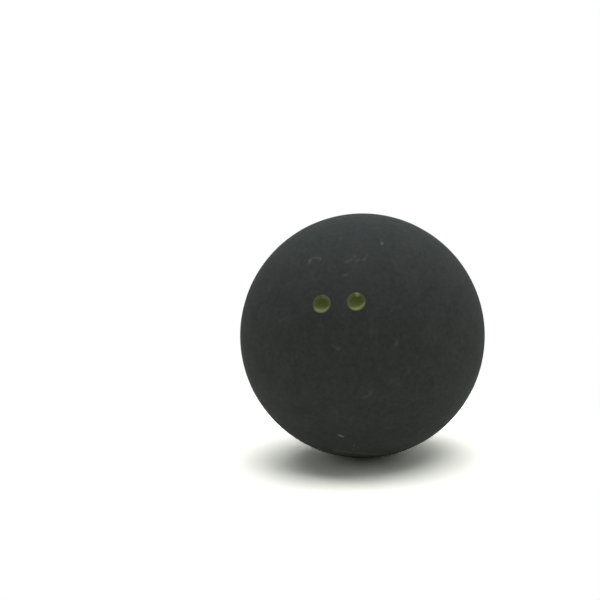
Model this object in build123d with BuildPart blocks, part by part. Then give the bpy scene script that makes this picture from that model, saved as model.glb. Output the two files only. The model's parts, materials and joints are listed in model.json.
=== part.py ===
from build123d import *
from math import asin, cos, radians, sin, sqrt
import os

# Hollow rubber squash ball, in millimetres.
# Two moulded half shells are glued rim to rim around sealed air. Two shallow round pits in the
# front half shell are lined with yellow paint.
# The origin is the ball's centre, +Z is up, the seam lies in the XZ plane and the dots face -Y.

# Driving dimensions of the rubber shell
BALL_DIAMETER = 40.0
WALL = 5.0

# Driving dimensions of the seam
ADHESIVE_FILM = 0.15  # between the two flat rims
RIM_CHAMFER = 0.6  # on the inner edge of each rim, which the adhesive fills
BEAD_BULGE = 0.25  # how far the squeezed-out adhesive stands into the hollow

# Driving dimensions of the dots
PIT_DIAMETER = 2.6  # across the mouth, before its lip is rounded
PIT_DEPTH = 0.6  # from the ball's surface to the floor of the pit
PIT_GAP = 3.0  # rubber between the two mouths
PIT_LIP = 0.2  # radius that rounds the mouth
PIT_ELEVATION = 30.0  # degrees above the ball's equator
PAINT_FILM = 0.1

# The rims, in the half plane of distance from the seam's axis and height above the seam plane
ball_radius = BALL_DIAMETER / 2
hollow_radius = ball_radius - WALL
rim_height = ADHESIVE_FILM / 2
chamfer_height = rim_height + RIM_CHAMFER
rim_outside = sqrt(ball_radius**2 - rim_height**2)
rim_inside = sqrt(hollow_radius**2 - rim_height**2) + RIM_CHAMFER
chamfer_inside = sqrt(hollow_radius**2 - chamfer_height**2)

# The bowl of a pit is a piece of a sphere that cuts the ball's surface in the mouth's circle
mouth_radius = PIT_DIAMETER / 2
mouth_crown = ball_radius - sqrt(ball_radius**2 - mouth_radius**2)
bowl_rise = PIT_DEPTH - mouth_crown
bowl_radius = (mouth_radius**2 + bowl_rise**2) / (2 * bowl_rise)
bowl_centre = ball_radius - PIT_DEPTH + bowl_radius

# The rounded lip touches the ball's surface from inside and the bowl from outside, so the centre
# of its arc lies at a known distance from both centres
lip_from_ball = ball_radius - PIT_LIP
lip_from_bowl = bowl_radius + PIT_LIP
lip_along = (lip_from_ball**2 - lip_from_bowl**2 + bowl_centre**2) / (2 * bowl_centre)
lip_across = sqrt(lip_from_ball**2 - lip_along**2)
lip_bowl_angle = asin(lip_across / lip_from_bowl)
lip_ball_angle = asin(lip_across / lip_from_ball)

# The paint lines the bowl and the lip, and its round edge ends on the ball just outside the lip
paint_bowl_radius = bowl_radius - PAINT_FILM
paint_lip_radius = PIT_LIP + PAINT_FILM
paint_top_radius = ball_radius + PAINT_FILM
paint_edge_angle = lip_ball_angle + PAINT_FILM / ball_radius

# The two pits are level, one on each side of the YZ plane
pit_spacing = PIT_DIAMETER + PIT_GAP
pit_tilt = radians(PIT_ELEVATION)
pit_turn = asin(pit_spacing / 2 / (ball_radius * cos(pit_tilt)))


def pit_plane(side):
    """The plane whose X axis runs out through the middle of a pit; side is -1 for left, 1 for right."""
    turn = side * pit_turn
    across = Vector(cos(turn), sin(turn), 0)
    outward = Vector(sin(turn) * cos(pit_tilt), -cos(turn) * cos(pit_tilt), sin(pit_tilt))
    return Plane(origin=(0, 0, 0), x_dir=outward, z_dir=outward.cross(across))


def on_bowl(radius, angle):
    """A point in a pit's plane, at an angle from its axis, on a sphere about the bowl's centre."""
    return (bowl_centre - radius * cos(angle), radius * sin(angle))


def on_ball(radius, angle):
    """A point in a pit's plane, at an angle from its axis, on a sphere about the ball's centre."""
    return (radius * cos(angle), radius * sin(angle))


os.makedirs("parts", exist_ok=True)

# Rear half shell: a thick hemisphere with a flat rim, chamfered where it meets the hollow
with BuildPart() as rear_half_shell:
    with BuildSketch(Plane.XY):
        with BuildLine():
            outside = RadiusArc((rim_outside, rim_height), (0, ball_radius), -ball_radius)
            Line((0, ball_radius), (0, hollow_radius))
            RadiusArc((0, hollow_radius), (chamfer_inside, chamfer_height), hollow_radius)
            Line((chamfer_inside, chamfer_height), (rim_inside, rim_height))
            Line((rim_inside, rim_height), outside @ 0)
        make_face()
    revolve(axis=Axis.Y)
rear_half_shell.part.label = "rear_half_shell"
export_step(rear_half_shell.part, "parts/rear_half_shell.step")

# Front half shell: the same moulding the other way round, with the two dot pits
with BuildPart() as front_half_shell:
    mirror(rear_half_shell.part, about=Plane.XZ)
    with Locations([pit_plane(side).from_local_coords((bowl_centre, 0, 0)) for side in (-1, 1)]):
        Sphere(bowl_radius, mode=Mode.SUBTRACT)
    mouths = front_half_shell.edges().filter_by(GeomType.CIRCLE).group_by(SortBy.RADIUS)[0]
    fillet(mouths, PIT_LIP)
front_half_shell.part.label = "front_half_shell"
export_step(front_half_shell.part, "parts/front_half_shell.step")

# Seam adhesive: the film between the rims, flush outside, with a rounded bead inside
with BuildPart() as seam_adhesive:
    with BuildSketch(Plane.XY):
        with BuildLine():
            Line((rim_outside, rim_height), (rim_inside, rim_height))
            Line((rim_inside, rim_height), (chamfer_inside, chamfer_height))
            ThreePointArc(
                (chamfer_inside, chamfer_height),
                (hollow_radius - BEAD_BULGE, 0),
                (chamfer_inside, -chamfer_height),
            )
            Line((chamfer_inside, -chamfer_height), (rim_inside, -rim_height))
            Line((rim_inside, -rim_height), (rim_outside, -rim_height))
            RadiusArc((rim_outside, -rim_height), (rim_outside, rim_height), -ball_radius)
        make_face()
    revolve(axis=Axis.Y)
seam_adhesive.part.label = "seam_adhesive"
export_step(seam_adhesive.part, "parts/seam_adhesive.step")

# Yellow dots: a film of paint of even thickness that lines each pit and rolls over its lip
bowl_floor = on_bowl(bowl_radius, 0)
bowl_top = on_bowl(bowl_radius, lip_bowl_angle)
lip_top = on_ball(ball_radius, lip_ball_angle)
paint_edge = on_ball(ball_radius, paint_edge_angle)
paint_crest = on_ball(paint_top_radius, lip_ball_angle)
paint_wall = on_bowl(paint_bowl_radius, lip_bowl_angle)
paint_floor = on_bowl(paint_bowl_radius, 0)
for name, side in (("left_yellow_dot", -1), ("right_yellow_dot", 1)):
    plane = pit_plane(side)
    with BuildPart() as yellow_dot:
        with BuildSketch(plane):
            with BuildLine():
                RadiusArc(bowl_floor, bowl_top, bowl_radius)
                RadiusArc(bowl_top, lip_top, -PIT_LIP)
                RadiusArc(lip_top, paint_edge, -ball_radius)
                RadiusArc(paint_edge, paint_crest, PAINT_FILM)
                RadiusArc(paint_crest, paint_wall, paint_lip_radius)
                RadiusArc(paint_wall, paint_floor, -paint_bowl_radius)
                Line(paint_floor, bowl_floor)
            make_face()
        revolve(axis=Axis((0, 0, 0), plane.x_dir))
    yellow_dot.part.label = name
    export_step(yellow_dot.part, f"parts/{name}.step")
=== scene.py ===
import json
from collections import namedtuple
from math import asin, atan2, cos, degrees, hypot, pi, radians, sin, sqrt
from random import Random

import bmesh
import bpy
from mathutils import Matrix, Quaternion, Vector, noise
from mathutils.geometry import delaunay_2d_cdt, intersect_line_sphere, intersect_point_line


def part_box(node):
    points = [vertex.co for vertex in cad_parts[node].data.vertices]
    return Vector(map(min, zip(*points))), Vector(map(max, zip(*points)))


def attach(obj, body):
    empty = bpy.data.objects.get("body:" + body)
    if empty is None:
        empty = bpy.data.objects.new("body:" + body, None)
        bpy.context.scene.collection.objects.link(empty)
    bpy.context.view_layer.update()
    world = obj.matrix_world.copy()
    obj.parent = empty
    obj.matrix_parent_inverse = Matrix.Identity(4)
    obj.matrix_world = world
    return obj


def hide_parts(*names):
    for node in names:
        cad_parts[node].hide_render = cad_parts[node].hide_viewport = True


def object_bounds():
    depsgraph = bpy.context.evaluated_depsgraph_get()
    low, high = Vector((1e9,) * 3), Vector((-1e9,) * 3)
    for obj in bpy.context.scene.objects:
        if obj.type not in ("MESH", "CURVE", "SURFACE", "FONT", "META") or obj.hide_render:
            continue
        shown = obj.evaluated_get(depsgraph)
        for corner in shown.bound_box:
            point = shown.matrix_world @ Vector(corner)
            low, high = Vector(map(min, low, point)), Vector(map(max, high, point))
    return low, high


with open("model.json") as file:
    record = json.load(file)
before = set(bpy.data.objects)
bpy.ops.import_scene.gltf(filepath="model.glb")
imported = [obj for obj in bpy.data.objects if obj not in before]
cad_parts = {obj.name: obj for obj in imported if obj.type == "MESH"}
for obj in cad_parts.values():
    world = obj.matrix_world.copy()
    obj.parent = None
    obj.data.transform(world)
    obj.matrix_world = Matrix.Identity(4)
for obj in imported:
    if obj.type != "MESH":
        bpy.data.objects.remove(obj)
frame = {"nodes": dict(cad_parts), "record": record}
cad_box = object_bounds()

# Squash ball: two matte rubber half shells, the glue line between them and two painted dots.
# Everything is in metres, in the CAD frame: the origin is the ball's centre, +Z is up and the
# dots face -Y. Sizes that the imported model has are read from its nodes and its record.

MM = 0.001
GOLDEN_TURN = pi * (3 - sqrt(5))  # spreads points evenly, turn by turn

# The camera, as solved from the photograph, which is square
IMAGE_SIDE = 600  # pixels
BALL_PIXEL = (362.4, 335.7)  # where the ball's centre falls, from the top left
FOCAL_PIXELS = 4200
CAMERA_DISTANCE = 686.9 * MM
CAMERA_AZIMUTH = 10.65  # degrees from -Y towards +X
CAMERA_ELEVATION = 14.1
CAMERA_ROLL = -6.5
FLOOR_LEAN = -4.7  # degrees, because the photographed ball lies rolled a little on its floor

# How finely the meshes are made
SKIN_STEP = 0.42 * MM  # between the points of a half shell's outside
RIM_SEGMENTS = 320
RIM_EDGE_STEPS = 4
HOLLOW_RINGS = 28
BEAD_STEPS = 8
BOWL_RINGS = 10
LIP_RINGS = 6
LIP_SPREAD = 1.5  # above 1, the rings outside a lip are closest next to it
DOT_SEGMENTS = 96
FEWEST_SEGMENTS = 12  # in the small rings of a pit
PAINT_RINGS = 40
SLOPE_STEPS = 1000  # steps in the paint's reach; a pit's slope is taken from one step to each side
MARK_STEP = 0.25  # between the points of a mark, as a share of its width
MARK_MARGIN = 1.4  # how far from its path those points reach, as a share of the mark's half width
DELAUNAY_HULL = 0  # the kind of result that fills the points' hull with triangles
DELAUNAY_NEAR = 1e-9  # points closer than this would be taken for one
SHARP_EDGE = 50  # degrees by which the faces at a sharp edge turn

# What moulding, glueing, buffing and play leave on the rubber
PIT_LIP = 0.2 * MM  # radius that rounds the mouth of a dot's pit
PIT_CLEARING = 1.35  # how far the smooth rubber round a pit reaches, as a share of the paint's reach
RIM_EDGE = 0.02 * MM  # radius that rounds the outer edge of each rim
GLUE_SUNK = 0.008 * MM  # how far the glue line lies below the rubber
SKIN_UNEVENNESS = 0.012 * MM
SKIN_WAVES = 320  # per metre
OTHER_MARKS = 46  # strewn where the camera sees the ball edge-on or not at all
OTHER_MARKS_SEED = 11
OTHER_MARKS_LIMIT = 0.1  # the largest cosine of the angle between their middles and the camera
OTHER_HALF_LENGTH = (0.2, 1.3)  # millimetres, as are their width and depth
OTHER_BEND = (-0.5, 0.5)  # as a share of half the length
OTHER_WIDTH = (0.4, 1.0)
OTHER_DEPTH = (0, 0.02)
OTHER_PALENESS = (0.04, 0.16)
# Painted light: the rubber is made paler towards the foot, standing in for light from the floor
FOOT_PAINTED_LIGHT = 0.21  # paleness painted on the underside, in place of the light that the floor throws up there
FOOT_LIGHT_REACH = (0.62, 0.92)  # where that painted light starts and is full, as shares of the way down to the floor

# How the paint of the dots departs from an even film. Thicknesses are shares of that film.
# Thin paint is dark and thick paint pale, so the thin middle also paints the shade deep in each pit,
# the pool paints the light on the pit's lower wall, and the drop paints a highlight
PAINT_REACH = 1.02  # how far the paint thins out, against the even film
PAINT_THIN_SHADED = 0.3  # thickness in the middle, where it was wiped; its dark colour also paints the shade deep in the pit
PAINT_BEAD = 0.57  # thickness of the bead along the mouth
BEAD_LEAN = 0.3  # how much thicker the bead is on its thick side
PAINT_POOL_AND_LIGHT = 0.55  # what the paint that ran down adds at the bottom; its pale colour also paints the light on the lower wall
PAINT_GLINT_DROP = 1.0  # what a drop on the bead adds; its pale colour is a painted highlight
PAINT_RIPPLE = 0.12  # how much the thickness varies
RIPPLE_WAVES = 3  # from the middle of a dot to its edge
PAINT_SINK = 0.01 * MM  # how far the paint bites into the rubber

# Where that is, as shares of the way from the middle of a dot to its edge
BEAD_START = 0.5
BEAD_CREST = 0.76
LIT_POOL_START = 0.12
LIT_POOL_FULL = 0.66
GLINT_DROP_PLACE = 0.84
GLINT_DROP_REACH = 0.4
PAINT_FADE = 0.93  # from here the paint's colour fades to rubber
GLINT_DROP_SIDE = 77  # degrees, turned from the right upwards, where the drop and its painted highlight sit


def node_points(name):
    """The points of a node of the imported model."""
    return [v.co for v in frame["nodes"][name].data.vertices]


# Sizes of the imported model
ball_radius = frame["record"]["mounts"][0]["dims"]["r_mm"] * MM
floor_height = cad_box[0].z
rear_points = node_points("rear_half_shell")
glue_points = node_points("seam_adhesive")
hollow_radius = min(p.length for p in rear_points)
rim_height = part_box("rear_half_shell")[0].y
chamfer_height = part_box("seam_adhesive")[1].y
bead_radius = min(hypot(p.x, p.z) for p in glue_points)
chamfer_radius = sqrt(hollow_radius**2 - chamfer_height**2)
rim_inside = sqrt(hollow_radius**2 - rim_height**2) + chamfer_height - rim_height

# The section of a dot's pit, from the paint that lines it
right_dot = node_points("right_yellow_dot")
right_axis = sum(right_dot, Vector()).normalized()
pit_floor = min(p.length for p in right_dot)
paint_film = max(p.length for p in right_dot) - ball_radius
paint_angle = max(p.angle(right_axis) for p in right_dot)
lip_angle = paint_angle - paint_film / ball_radius
lip_distance = ball_radius - PIT_LIP
lip_along = lip_distance * cos(lip_angle)
lip_across = lip_distance * sin(lip_angle)
lip_rise = lip_along - pit_floor
bowl_radius = (lip_rise**2 + lip_across**2 - PIT_LIP**2) / (2 * (lip_rise + PIT_LIP))
bowl_centre = pit_floor + bowl_radius
bowl_turn = asin(lip_across / (bowl_radius + PIT_LIP))
bowl_angle = atan2(bowl_radius * sin(bowl_turn), bowl_centre - bowl_radius * cos(bowl_turn))

scene = bpy.context.scene


def on_ball(azimuth, elevation):
    """The outward direction at an azimuth from -Y towards +X and an elevation, in degrees."""
    around = radians(azimuth)
    height = radians(elevation)
    return Vector((sin(around) * cos(height), -cos(around) * cos(height), sin(height)))


def square_to(axis):
    """Two directions square to an axis and to each other: to the right, seen from outside, and up."""
    side = Vector((0, 0, 1)).cross(axis).normalized()
    return side, axis.cross(side)


def round_axis(axis, along, across, turn):
    """A point at a distance along an axis and a distance across it, turned from the right upwards."""
    side, up = square_to(axis)
    return axis * along + (side * cos(turn) + up * sin(turn)) * across


def smooth(value, start, end):
    """0 before the start and 1 past the end, with an even rise between them."""
    share = min(max((value - start) / (end - start), 0), 1)
    return share * share * (3 - 2 * share)


# How the camera is turned, and the way down to the floor that the ball lies on
backwards = on_ball(CAMERA_AZIMUTH, CAMERA_ELEVATION)
camera_place = backwards * CAMERA_DISTANCE
camera_turn = (-backwards).to_track_quat("-Z", "Y") @ Quaternion((0, 0, 1), radians(CAMERA_ROLL))
floor_turn = Quaternion(on_ball(CAMERA_AZIMUTH, 0), radians(FLOOR_LEAN))
downwards = floor_turn @ Vector((0, 0, -1))


def seen_on_ball(right, up):
    """The outward direction where the camera sees the ball, right of its centre and above it."""
    aim = camera_turn @ Vector((right, up, 0))
    crossings = intersect_line_sphere(camera_place, aim, Vector(), ball_radius, False)
    return min(crossings, key=lambda point: (point - camera_place).length).normalized()


# Marks of play on the rubber that faces the camera: pale scuffs. Each is placed by how far right of the
# ball's centre and above it the camera sees its middle. It runs along a heading, in degrees from right
# to up, and its ends bend aside by a share of its length. Lengths are in millimetres, and paleness is a
# share of bare dust
Mark = namedtuple("Mark", "right up heading length bend width depth paleness")
MARK_JOINTS = (-1, -0.5, 0, 0.5, 1)  # along a mark, from end to end
FRONT_MARKS = (
    Mark(-7.8, 12.8, 5, 1.9, -0.2, 0.8, 0.01, 0.1),
    Mark(-8.6, 12.3, 60, 0.3, 0, 1.1, 0.01, 0.16),
    Mark(-1.9, 12.4, 30, 1.7, 0.1, 0.7, 0.01, 0.1),
    Mark(-0.8, 12.3, 40, 0.5, 0, 0.8, 0.01, 0.08),
    Mark(0.3, 12.5, 50, 0.2, 0, 1.0, 0.01, 0.12),
    Mark(0.7, 13.0, 65, 0.7, 0.1, 0.7, 0, 0.06),
    Mark(3.2, 15.1, 90, 0.2, 0, 0.75, 0.02, 0.3),
    Mark(3.2, 15.6, 90, 0.4, 0, 0.6, 0, 0.07),
    Mark(-3.5, 15.9, 50, 0.2, 0, 1.0, 0, 0.05),
    Mark(-2.8, 9.9, 10, 0.5, 0, 0.9, 0, 0.07),
    Mark(-8.2, 9.9, 90, 1.3, 0, 0.8, 0, 0.04),
    Mark(-6.8, 1.7, -25, 0.7, 0, 0.9, 0, 0.05),
    Mark(1.7, 0.7, 15, 1.2, 0, 0.9, 0, 0.04),
    Mark(-4.4, -1.9, -30, 1.1, 0.1, 0.65, 0, 0.05),
    Mark(-4.0, -2.1, -20, 0.3, 0, 0.85, 0.01, 0.12),
    Mark(5.6, -1.1, 90, 1.3, 0.3, 0.65, 0, 0.06),
    Mark(5.5, -1.4, 65, 0.3, 0, 0.8, 0.01, 0.12),
    Mark(7.6, -5.6, 100, 1.2, 0, 1.0, 0, 0.05),
    Mark(0.7, -9.9, 25, 1.5, 0.1, 0.65, 0, 0.05),
    Mark(1.3, -9.4, 70, 0.3, 0, 0.85, 0.01, 0.12),
    Mark(-3.5, -16.4, -20, 0.55, 0, 0.7, 0.03, 0.6),
    Mark(9.6, -15.6, 50, 1.0, 0, 0.8, 0.01, 0.11),
    Mark(-0.4, -19.3, -4, 7.5, 0.03, 2.6, 0, 0.45),
    Mark(-1.4, -18.3, 75, 1.2, 0, 0.45, 0.01, 0.26),
    Mark(-0.7, -18.3, 100, 0.5, 0, 0.4, 0.01, 0.22),
)


class Rub:
    """A mark laid on the ball along a path of directions."""

    def __init__(self, path, width, depth, paleness):
        self.path = path
        self.half_width = width * MM / 2
        self.depth = depth * MM
        self.paleness = paleness
        self.centre = sum(path, Vector()).normalized()
        half_length = max((point - self.centre).length for point in path) * ball_radius
        self.reach = half_length + MARK_MARGIN * self.half_width

    def distance(self, direction):
        """How far a direction's point on the ball is from the path."""
        found = []
        for start, end in zip(self.path, self.path[1:]):
            _, share = intersect_point_line(direction, start, end)
            nearest = start.lerp(end, min(max(share, 0), 1))
            found.append((direction - nearest).length * ball_radius)
        return min(found)

    def strength(self, direction):
        """1 along the middle of the mark, fading to 0 at its edge."""
        if (direction - self.centre).length * ball_radius > self.reach:
            return 0
        share = self.distance(direction) / self.half_width
        return (1 - share**2) ** 2 if share < 1 else 0

    def covers(self, direction):
        """Whether a direction falls on the mark or close round it."""
        if (direction - self.centre).length * ball_radius > self.reach:
            return False
        return self.distance(direction) < MARK_MARGIN * self.half_width

    def points(self):
        """Directions that cover the mark, closely spaced."""
        side, up = square_to(self.centre)
        count = int(pi * (self.reach / (MARK_STEP * 2 * self.half_width)) ** 2)
        found = []
        for i in range(count):
            out = sqrt((i + 0.5) / count) * self.reach / ball_radius
            offset = side * cos(i * GOLDEN_TURN) + up * sin(i * GOLDEN_TURN)
            direction = (self.centre + offset * out).normalized()
            if self.covers(direction):
                found.append(direction)
        return found


def strewn_rubs(count):
    """Bent scuffs at random where the camera sees the ball edge-on or not at all."""
    draw = Random(OTHER_MARKS_SEED)
    found = []
    while len(found) < count:
        middle = on_ball(draw.uniform(-180, 180), degrees(asin(draw.uniform(-1, 1))))
        side, up = square_to(middle)
        heading = draw.uniform(0, pi)
        ahead = side * cos(heading) + up * sin(heading)
        along = ahead * draw.uniform(*OTHER_HALF_LENGTH) * MM / ball_radius
        bend = middle.cross(along) * draw.uniform(*OTHER_BEND)
        path = [(middle - along + bend).normalized(), middle, (middle + along + bend).normalized()]
        width = draw.uniform(*OTHER_WIDTH)
        depth = draw.uniform(*OTHER_DEPTH)
        paleness = draw.uniform(*OTHER_PALENESS)
        if middle.dot(backwards) < OTHER_MARKS_LIMIT:
            found.append(Rub(path, width, depth, paleness))
    return found


def front_rub(mark):
    """A mark laid on the ball where the camera sees it."""
    heading = radians(mark.heading)
    path = []
    for share in MARK_JOINTS:
        along = mark.length / 2 * share
        aside = mark.bend * mark.length * share**2
        right = mark.right + along * cos(heading) - aside * sin(heading)
        up = mark.up + along * sin(heading) + aside * cos(heading)
        path.append(seen_on_ball(right * MM, up * MM))
    return Rub(path, mark.width, mark.depth, mark.paleness)


rubs = [front_rub(mark) for mark in FRONT_MARKS] + strewn_rubs(OTHER_MARKS)


def pit_surface(angle):
    """How far the bare rubber is from the ball's centre, at an angle from a pit's axis."""
    if angle < bowl_angle:
        return bowl_centre * cos(angle) - sqrt(bowl_radius**2 - (bowl_centre * sin(angle)) ** 2)
    if angle < lip_angle:
        off_lip = lip_distance * sin(angle - lip_angle)
        return lip_distance * cos(angle - lip_angle) + sqrt(PIT_LIP**2 - off_lip**2)
    return ball_radius


def pit_points(axis):
    """Directions that cover a pit, its lip and the rubber round it, in rings that crowd at the lip."""
    angles = [bowl_angle * i / BOWL_RINGS for i in range(1, BOWL_RINGS + 1)]
    lip_shares = [i / LIP_RINGS for i in range(1, LIP_RINGS + 1)]
    angles += [bowl_angle + (lip_angle - bowl_angle) * share for share in lip_shares]
    clearing = PIT_CLEARING * paint_angle - lip_angle
    angles += [lip_angle + clearing * share**LIP_SPREAD for share in lip_shares]
    found = [axis.copy()]
    for angle in angles:
        count = max(FEWEST_SEGMENTS, int(DOT_SEGMENTS * min(1, angle / bowl_angle)))
        for i in range(count):
            found.append(round_axis(axis, cos(angle), sin(angle), 2 * pi * i / count))
    return found


def skin_point(direction, pits):
    """The point of the rubber's outside in a direction, and how pale the rubber is there, from rubs and
    from painted light towards the foot.
    """
    radius = ball_radius + SKIN_UNEVENNESS * noise.noise(direction * ball_radius * SKIN_WAVES)
    for axis in pits:
        angle = direction.angle(axis)
        if angle < PIT_CLEARING * paint_angle:
            radius = pit_surface(angle)
    # Painted light: paler towards the foot, in place of light thrown up from the floor
    paleness = FOOT_PAINTED_LIGHT * smooth(direction.dot(downwards), *FOOT_LIGHT_REACH)
    for rub in rubs:
        strength = rub.strength(direction)
        radius -= strength * rub.depth
        paleness = max(paleness, strength * rub.paleness)
    return direction * radius, paleness


def ring_faces(ring, next_ring):
    """The band of faces between two rings that have as many points."""
    return [(ring[i - 1], ring[i], next_ring[i], next_ring[i - 1]) for i in range(len(ring))]


def half_shell(axis, pits):
    """Points, faces and paleness of a half shell, with its painted light towards the foot: its skin,
    rounded rim, chamfer and hollow.
    """
    seam_angle = pi / 2 - asin((rim_height + RIM_EDGE) / ball_radius)
    last_level = cos(seam_angle - SKIN_STEP / ball_radius / 2)
    cell = sqrt(3) / 2 * SKIN_STEP**2  # what each point takes up where points are evenly spread
    count = int(2 * pi * ball_radius**2 * (1 - last_level) / cell)
    side_rubs = [rub for rub in rubs if rub.centre.angle(axis) + rub.reach / ball_radius < seam_angle]
    directions = []
    for i in range(count):
        level = 1 - (1 - last_level) * (i + 0.5) / count
        direction = round_axis(axis, level, sqrt(1 - level**2), i * GOLDEN_TURN)
        in_pit = any(direction.angle(pit) < PIT_CLEARING * paint_angle for pit in pits)
        if not in_pit and not any(rub.covers(direction) for rub in side_rubs):
            directions.append(direction)
    for pit in pits:
        directions += pit_points(pit)
    for rub in side_rubs:
        directions += rub.points()
    first_rim = len(directions)
    turns = [2 * pi * i / RIM_SEGMENTS for i in range(RIM_SEGMENTS)]
    directions += [round_axis(axis, cos(seam_angle), sin(seam_angle), turn) for turn in turns]

    # Seen from the far pole, the skin unfolds on a plane, where its triangles are found
    side, up = square_to(axis)
    flat = [Vector((d.dot(side), d.dot(up))) / (1 + d.dot(axis)) for d in directions]
    _, _, faces, origins, _, _ = delaunay_2d_cdt(flat, [], [], DELAUNAY_HULL, DELAUNAY_NEAR)
    kept = [origin[0] for origin in origins]
    faces = [[kept[i] for i in face] for face in faces]
    skin = [skin_point(d, pits) for d in directions]
    points = [point for point, _ in skin]
    rubbed = [paleness for _, paleness in skin]
    ring = list(range(first_rim, first_rim + RIM_SEGMENTS))

    # The rest of the shell is turned about its axis, from the skin's last ring to the hollow's pole
    edge_across = sqrt(ball_radius**2 - (rim_height + RIM_EDGE) ** 2)
    section = []
    for i in range(1, RIM_EDGE_STEPS + 1):
        turn = pi / 2 * i / RIM_EDGE_STEPS
        along = rim_height + RIM_EDGE * (1 - sin(turn))
        across = edge_across - RIM_EDGE * (1 - cos(turn))
        section.append((along, across))
    section.append((rim_height, rim_inside))
    section.append((chamfer_height, chamfer_radius))
    chamfer_angle = atan2(chamfer_radius, chamfer_height)
    for i in range(1, HOLLOW_RINGS):
        angle = chamfer_angle * (1 - i / HOLLOW_RINGS)
        section.append((hollow_radius * cos(angle), hollow_radius * sin(angle)))
    for along, across in section:
        next_ring = list(range(len(points), len(points) + RIM_SEGMENTS))
        points += [round_axis(axis, along, across, turn) for turn in turns]
        faces += ring_faces(ring, next_ring)
        ring = next_ring
    points.append(axis * hollow_radius)
    faces += [(ring[i - 1], ring[i], len(points) - 1) for i in range(RIM_SEGMENTS)]
    rubbed += [0] * (len(points) - len(rubbed))
    return points, faces, rubbed


def glue_ring():
    """Points and faces of the glue: a thin film whose outer edge is a little sunk, and its bead."""
    axis = Vector((0, 1, 0))
    outside = sqrt(ball_radius**2 - rim_height**2)
    bead = chamfer_radius - bead_radius
    section = [
        (rim_height, rim_inside),
        (rim_height, outside - RIM_EDGE),
        (rim_height / 2, outside - GLUE_SUNK),
        (-rim_height / 2, outside - GLUE_SUNK),
        (-rim_height, outside - RIM_EDGE),
        (-rim_height, rim_inside),
    ]
    for i in range(BEAD_STEPS + 1):
        share = 2 * i / BEAD_STEPS - 1
        section.append((chamfer_height * share, chamfer_radius - bead * (1 - share**2)))
    points = []
    rings = []
    for along, across in section:
        rings.append(list(range(len(points), len(points) + RIM_SEGMENTS)))
        for i in range(RIM_SEGMENTS):
            points.append(round_axis(axis, along, across, 2 * pi * i / RIM_SEGMENTS))
    faces = []
    for i in range(len(rings)):
        faces += ring_faces(rings[i - 1], rings[i])
    return points, faces


# The two dots. The bead of each has a thick side, its paint ran down to near the bottom, whose pale
# colour also paints the light on the pit's lower wall, and at the top is a drop, painted pale as a
# highlight, which is hardly there on the left one. Sides are in degrees, turned from the right upwards
Dot = namedtuple("Dot", "node piece thick pool drop seed")
DOTS = (
    Dot("left_yellow_dot", "left_dot_paint", 50, -92, 0.15, 3.7),
    Dot("right_yellow_dot", "right_dot_paint", 165, -74, 1.0, 8.2),
)


def dot_axis(dot):
    """The direction out through the middle of a dot."""
    return sum(node_points(dot.node), Vector()).normalized()


def pit_section(angle):
    """The bare rubber at an angle from a pit's axis, as distances along and across the axis."""
    return Vector((cos(angle), sin(angle))) * pit_surface(angle)


def edge_fall(share):
    """How the paint's height falls from the bead's crest, where it is 1, to 0 at the dot's edge."""
    past_crest = max(0, (share - BEAD_CREST) / (1 - BEAD_CREST))
    return sqrt(max(0, 1 - past_crest**2))


def film_thickness(share, turn, dot):
    """How thick the paint is, against the even film, at a share of the way to the dot's edge."""
    bead = smooth(share, BEAD_START, BEAD_CREST) * (1 + BEAD_LEAN * cos(turn - radians(dot.thick)))
    to_lit_pool = share * cos(turn - radians(dot.pool))
    glint_drop_turn = radians(GLINT_DROP_SIDE)
    drop = Vector((cos(glint_drop_turn), sin(glint_drop_turn))) * GLINT_DROP_PLACE
    from_glint_drop = (Vector((cos(turn), sin(turn))) * share - drop).length
    # Painted shade: the thin middle is dark, where shade falls deep in the pit
    thickness = PAINT_THIN_SHADED + (PAINT_BEAD - PAINT_THIN_SHADED) * bead
    # Painted light: the pool is thicker paint, whose paler colour stands for light on the lower wall
    thickness += PAINT_POOL_AND_LIGHT * smooth(to_lit_pool, LIT_POOL_START, LIT_POOL_FULL)
    # Painted highlight: the drop is thicker paint with a pale spot where a highlight falls
    thickness += PAINT_GLINT_DROP * dot.drop * smooth(from_glint_drop, GLINT_DROP_REACH, 0)
    return thickness * edge_fall(share)


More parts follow.
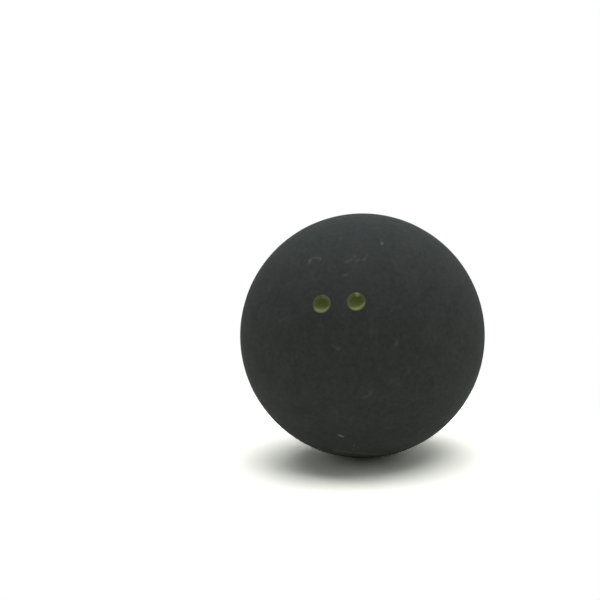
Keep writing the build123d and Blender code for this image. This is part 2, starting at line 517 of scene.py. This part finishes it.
def dot_paint(dot):
    """Points, faces, film and fading of a dot: paint that lines its pit and rolls over the lip."""
    axis = dot_axis(dot)
    step = paint_angle / SLOPE_STEPS
    points = []
    film = []
    faded = []

    def add(share, turn, thickness, height):
        """A point of the paint at a height above the bare rubber, square to it."""
        angle = paint_angle * PAINT_REACH * share
        slope = pit_section(angle + step) - pit_section(angle - step)
        square = Vector((slope.y, -slope.x)).normalized()
        place = pit_section(angle) + square * height
        points.append(round_axis(axis, place.x, place.y, turn))
        film.append(thickness)
        faded.append(smooth(share, PAINT_FADE, 1))
        return len(points) - 1

    middle = film_thickness(0, 0, dot)
    poles = (add(0, 0, middle, paint_film * middle), add(0, 0, middle, -PAINT_SINK))
    tops = []
    beds = []
    for k in range(1, PAINT_RINGS + 1):
        share = k / PAINT_RINGS
        top = []
        bed = []
        for i in range(DOT_SEGMENTS):
            turn = 2 * pi * i / DOT_SEGMENTS
            across = Vector((cos(turn), sin(turn), 0)) * share
            ripple = noise.noise(axis * dot.seed + across * RIPPLE_WAVES)
            thickness = film_thickness(share, turn, dot) * (1 + PAINT_RIPPLE * ripple)
            height = paint_film * thickness if k < PAINT_RINGS else -PAINT_SINK
            top.append(add(share, turn, thickness, height))
            bed.append(add(share, turn, thickness, -PAINT_SINK) if k < PAINT_RINGS else top[-1])
        tops.append(top)
        beds.append(bed)
    faces = []
    for layer, pole in zip((tops, beds), poles):
        faces += [(layer[0][i - 1], layer[0][i], pole) for i in range(DOT_SEGMENTS)]
        for inner, outer in zip(layer, layer[1:]):
            faces += ring_faces(inner, outer)
    return points, faces, film, faded


def add_piece(name, node, slot, material, points, faces, **attributes):
    """Adds a smooth closed mesh that stands for a CAD node and rides on the part's one body."""
    mesh = bpy.data.meshes.new(name)
    mesh.from_pydata(points, [], faces)
    working = bmesh.new()
    working.from_mesh(mesh)
    bmesh.ops.recalc_face_normals(working, faces=working.faces)
    working.to_mesh(mesh)
    working.free()
    mesh.shade_smooth()
    mesh.set_sharp_from_angle(angle=radians(SHARP_EDGE))
    for attribute, values in attributes.items():
        mesh.attributes.new(attribute, "FLOAT", "POINT").data.foreach_set("value", values)
    mesh.materials.append(material)
    piece = bpy.data.objects.new(name, mesh)
    scene.collection.objects.link(piece)
    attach(piece, "root")
    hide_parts(node)


# Sockets of the Mix node when it mixes colours
MIX_SHARE = 0
MIX_FIRST = 6
MIX_SECOND = 7
MIX_RESULT = 2


class Nodes:
    """The nodes of a material or a world."""

    def __init__(self, owner):
        owner.use_nodes = True
        self.tree = owner.node_tree
        self.tree.nodes.clear()

    def add(self, kind, inputs=None, **settings):
        """A new node with its settings, and inputs given as values or as sockets to link."""
        node = self.tree.nodes.new("ShaderNode" + kind)
        for name, value in settings.items():
            setattr(node, name, value)
        for name, value in (inputs or {}).items():
            if isinstance(value, bpy.types.NodeSocket):
                self.tree.links.new(value, node.inputs[name])
            else:
                node.inputs[name].default_value = value
        return node

    def noise(self, place, scale, detail, roughness):
        """Cloudy noise, about 0.5 on average."""
        inputs = {"Vector": place, "Scale": scale, "Detail": detail, "Roughness": roughness}
        return self.add("TexNoise", inputs).outputs["Fac"]

    def ranged(self, value, low, high, to_low, to_high):
        """A value taken from one range to another, and kept inside it."""
        inputs = {"Value": value, "From Min": low, "From Max": high, "To Min": to_low, "To Max": to_high}
        return self.add("MapRange", inputs).outputs["Result"]

    def math(self, operation, first, second):
        """What an operation makes of two values."""
        inputs = {0: first, 1: second}
        return self.add("Math", inputs, operation=operation).outputs[0]

    def weighed(self, *parts):
        """The sum of values, each times its weight."""
        total = None
        for value, weight in parts:
            share = self.math("MULTIPLY", value, weight)
            total = share if total is None else self.math("ADD", total, share)
        return total

    def mixed(self, share, first, second):
        """A colour, given as a tuple or as a socket, that fades to a second one."""
        start = (*first, 1) if isinstance(first, tuple) else first
        inputs = {MIX_SHARE: share, MIX_FIRST: start, MIX_SECOND: (*second, 1)}
        return self.add("Mix", inputs, data_type="RGBA").outputs[MIX_RESULT]

    def ramp(self, value, *stops):
        """A colour that follows a value through stops, each a value from 0 to 1 and its colour."""
        node = self.add("ValToRGB", {"Fac": value})
        elements = node.color_ramp.elements
        for element, (place, colour) in zip(elements, (stops[0], stops[-1])):
            element.position = place
            element.color = (*colour, 1)
        for place, colour in stops[1:-1]:
            elements.new(place).color = (*colour, 1)
        return node.outputs["Color"]

    def attribute(self, name):
        """A number that a piece carries at its points."""
        return self.add("Attribute", attribute_name=name).outputs["Fac"]

    def place(self):
        """Where a point lies, in its object's own frame."""
        return self.add("TexCoord").outputs["Object"]

    def shows_background(self):
        """1 for what is seen, directly, in a gloss or through glass, and 0 for light that falls."""
        path = self.add("LightPath").outputs
        seen = self.math("MAXIMUM", path["Is Camera Ray"], path["Is Glossy Ray"])
        return self.math("MAXIMUM", seen, path["Is Transmission Ray"])

    def surface(self, shader):
        """Shows a shader on what has the material."""
        self.add("OutputMaterial", {"Surface": shader})


# Noise in the materials: waves per metre, layers of finer waves and how strong each layer is
GRAIN = (4200, 3, 0.6)
MOTTLE = (1500, 2, 0.5)
CLOUDS = (320, 3, 0.5)
RUB_PATCHES = (3000, 3, 0.6)
GLUE_PATCHES = (900, 3, 0.6)
PAINT_STREAKS = (2600, 3, 0.6)
NOISE_RANGE = (0.3, 0.7)  # where most of its values lie

# The rubber
RUBBER_DARK = (0.0341, 0.0390, 0.0378)
RUBBER_PALE = (0.0568, 0.0630, 0.0620)
# Pale dust of the rubs; towards the foot the same colour is painted light
DUST_AND_FOOT_LIGHT = (0.32, 0.35, 0.32)
TONE_SHARES = (0.3, 0.4, 0.3)  # of grain, mottle and clouds in its tone
RELIEF_SHARES = (0.6, 0.4)  # of grain and mottle in its relief
RELIEF_STRENGTH = 0.35
RELIEF_DEPTH = 0.03 * MM
RUB_RANGE = (0.35, 0.6)  # of the noise that breaks a rub up into patches
RUB_LEAST = 0.4  # how much of a rub is left between them
RUBBER_ROUGHNESS = (0.70, 0.82)
RUBBER_GLOSS = 0.03

# The glue
GLUE_DARK = (0.034, 0.039, 0.037)
GLUE_PALE = (0.052, 0.059, 0.056)
GLUE_ROUGHNESS = (0.55, 0.75)
GLUE_GLOSS = 0.12

# The paint, whose colour goes by the thickness of its film and, a little, by streaks. The dark thin
# stops also paint the shade deep in the pits, the pale thick ones the light on their lower walls, and
# the palest, reached only at the drop, is a painted highlight
PAINT_COLOURS_AND_LIGHT = (
    (0.00, (0.044, 0.050, 0.042)),
    (0.22, (0.072, 0.096, 0.014)),
    (0.46, (0.090, 0.110, 0.049)),
    (0.90, (0.193, 0.228, 0.080)),
    (1.00, (0.250, 0.262, 0.160)),
)
PAINT_FADED = (0.044, 0.050, 0.046)
FILM_SHARE = 0.8
STREAK_SHARE = 0.1
STREAK_RANGE = (-0.5, 0.5)
PAINT_ROUGHNESS = (0.45, 0.58)
PAINT_GLOSS = 0.14


def rubber_material():
    """Matte black rubber: fine buffed grain, faint mottling and clouding, pale rubs, and painted light
    that makes the underside paler towards the foot.
    """
    material = bpy.data.materials.new("black_rubber")
    nodes = Nodes(material)
    place = nodes.place()
    grain = nodes.noise(place, *GRAIN)
    mottle = nodes.noise(place, *MOTTLE)
    clouds = nodes.noise(place, *CLOUDS)
    patches = nodes.noise(place, *RUB_PATCHES)
    tone = nodes.weighed(*zip((grain, mottle, clouds), TONE_SHARES))
    bare = nodes.mixed(nodes.ranged(tone, *NOISE_RANGE, 0, 1), RUBBER_DARK, RUBBER_PALE)
    broken = nodes.ranged(patches, *RUB_RANGE, RUB_LEAST, 1)
    # Pale rubs, and the painted light towards the foot, which rides on the same attribute
    rubbed = nodes.math("MULTIPLY", nodes.attribute("rubbed"), broken)
    relief = nodes.weighed(*zip((grain, mottle), RELIEF_SHARES))
    bump = nodes.add("Bump", {"Strength": RELIEF_STRENGTH, "Distance": RELIEF_DEPTH, "Height": relief})
    shader = nodes.add("BsdfPrincipled", {
        "Base Color": nodes.mixed(rubbed, bare, DUST_AND_FOOT_LIGHT),
        "Roughness": nodes.ranged(grain, *NOISE_RANGE, *RUBBER_ROUGHNESS),
        "Specular IOR Level": RUBBER_GLOSS,
        "Normal": bump.outputs[0],
    })
    nodes.surface(shader.outputs[0])
    return material


def glue_material():
    """Cured rubber adhesive: a little darker and shinier than the rubber, in uneven patches."""
    material = bpy.data.materials.new("seam_adhesive")
    nodes = Nodes(material)
    patches = nodes.noise(nodes.place(), *GLUE_PATCHES)
    shader = nodes.add("BsdfPrincipled", {
        "Base Color": nodes.mixed(patches, GLUE_DARK, GLUE_PALE),
        "Roughness": nodes.ranged(patches, *NOISE_RANGE, *GLUE_ROUGHNESS),
        "Specular IOR Level": GLUE_GLOSS,
    })
    nodes.surface(shader.outputs[0])
    return material


def paint_material():
    """Satin yellow paint: dark olive where its film is thin over the rubber, yellower where thick; both
    also paint shade and light.
    """
    material = bpy.data.materials.new("yellow_paint")
    nodes = Nodes(material)
    streaks = nodes.noise(nodes.place(), *PAINT_STREAKS)
    film = nodes.attribute("film")
    change = nodes.ranged(streaks, *NOISE_RANGE, *STREAK_RANGE)
    thickness = nodes.weighed((film, FILM_SHARE), (change, STREAK_SHARE))
    colour = nodes.ramp(thickness, *PAINT_COLOURS_AND_LIGHT)
    shader = nodes.add("BsdfPrincipled", {
        "Base Color": nodes.mixed(nodes.attribute("faded"), colour, PAINT_FADED),
        "Roughness": nodes.ranged(streaks, *NOISE_RANGE, *PAINT_ROUGHNESS),
        "Specular IOR Level": PAINT_GLOSS,
    })
    nodes.surface(shader.outputs[0])
    return material


rubber = rubber_material()
front_axis = Vector((0, -1, 0))
points, faces, rubbed = half_shell(front_axis, [dot_axis(dot) for dot in DOTS])
add_piece("front_rubber_half", "front_half_shell", "black_rubber", rubber, points, faces, rubbed=rubbed)
points, faces, rubbed = half_shell(-front_axis, [])
add_piece("rear_rubber_half", "rear_half_shell", "black_rubber", rubber, points, faces, rubbed=rubbed)
points, faces = glue_ring()
add_piece("glue_line", "seam_adhesive", "seam_adhesive", glue_material(), points, faces)
paint = paint_material()
for dot in DOTS:
    points, faces, film, faded = dot_paint(dot)
    add_piece(dot.piece, dot.node, "yellow_paint", paint, points, faces, film=film, faded=faded)

# The floor is plain white paper. The camera sees it over-exposed, so that it is pure white outside the
# ball's shadow, and far from the ball it is white whatever light falls there
FLOOR_SIZE = 3.0
PAPER = (0.92, 0.92, 0.8)  # to the light that falls on it
SEEN_PAPER = (1.75, 1.77, 1.66)  # to whatever sees it
WHITE_START = 26 * MM  # from where the ball stands
WHITE_FULL = 45 * MM
WHITE = (1, 1, 1, 1)


def floor_material():
    """White paper, seen over-exposed, that fades to plain white away from the ball."""
    material = bpy.data.materials.new("floor_paper")
    nodes = Nodes(material)
    seen = nodes.shows_background()
    paper = nodes.add("BsdfDiffuse", {"Color": nodes.mixed(seen, PAPER, SEEN_PAPER)})
    white = nodes.add("Emission", {"Color": WHITE, "Strength": 1.0})
    away = nodes.add("VectorMath", {0: nodes.place()}, operation="LENGTH").outputs["Value"]
    share = nodes.math("MULTIPLY", seen, nodes.ranged(away, WHITE_START, WHITE_FULL, 0, 1))
    mix = nodes.add("MixShader", {0: share, 1: paper.outputs[0], 2: white.outputs[0]})
    nodes.surface(mix.outputs[0])
    return material


half = FLOOR_SIZE / 2
corners = [(-half, -half, 0), (half, -half, 0), (half, half, 0), (-half, half, 0)]
floor_mesh = bpy.data.meshes.new("floor")
floor_mesh.from_pydata(corners, [], [(0, 1, 2, 3)])
floor_mesh.materials.append(floor_material())
floor = bpy.data.objects.new("floor", floor_mesh)
floor.location = -downwards * floor_height
floor.rotation_mode = "QUATERNION"
floor.rotation_quaternion = floor_turn
scene.collection.objects.link(floor)

# Light: a wide soft box overhead, and dim surroundings that glow behind on the right and on the left
LAMP_WIDTH = 1.2
LAMP_DEPTH = 0.8
LAMP_HEIGHT = 0.75
LAMP_BACK = 0.11
LAMP_POWER = 7.2  # watts
GLOWS = (((0.56, 0.83, 0.2), 0.9), ((-0.98, -0.19, 0.1), 0.4))  # directions and strengths
GLOW_EDGE = 0.4  # the cosine of the angle at which a glow ends
DIMMEST = 0.08  # how strongly the surroundings glow elsewhere

lamp_data = bpy.data.lights.new("soft_box", "AREA")
lamp_data.shape = "RECTANGLE"
lamp_data.size = LAMP_WIDTH
lamp_data.size_y = LAMP_DEPTH
lamp_data.energy = LAMP_POWER
lamp = bpy.data.objects.new("soft_box", lamp_data)
lamp.location = floor_turn @ Vector((0, LAMP_BACK, LAMP_HEIGHT))
lamp.rotation_mode = "QUATERNION"
lamp.rotation_quaternion = (-lamp.location).to_track_quat("-Z", "Y")
scene.collection.objects.link(lamp)

world = bpy.data.worlds.new("surroundings")
scene.world = world
nodes = Nodes(world)
heading = nodes.add("TexCoord").outputs["Generated"]
strength = nodes.shows_background()
for direction, level in GLOWS:
    towards = nodes.add("VectorMath", {0: heading, 1: direction}, operation="DOT_PRODUCT")
    glow = nodes.ranged(towards.outputs["Value"], GLOW_EDGE, 1, DIMMEST, level)
    strength = nodes.math("MAXIMUM", strength, glow)
background = nodes.add("Background", {"Color": WHITE, "Strength": strength})
nodes.add("OutputWorld", {"Surface": background.outputs[0]})

# Camera: it looks past the ball, so that the ball falls where it does in the photograph
camera_data = bpy.data.cameras.new("camera")
camera_data.lens = camera_data.sensor_width * FOCAL_PIXELS / IMAGE_SIDE
camera = bpy.data.objects.new("camera", camera_data)
ball_ray = Vector((BALL_PIXEL[0] - IMAGE_SIDE / 2, IMAGE_SIDE / 2 - BALL_PIXEL[1], -FOCAL_PIXELS))
camera.rotation_mode = "QUATERNION"
camera.location = camera_place
camera.rotation_quaternion = camera_turn @ ball_ray.rotation_difference(Vector((0, 0, -1)))
scene.collection.objects.link(camera)
scene.camera = camera
scene.view_settings.view_transform = "Standard"
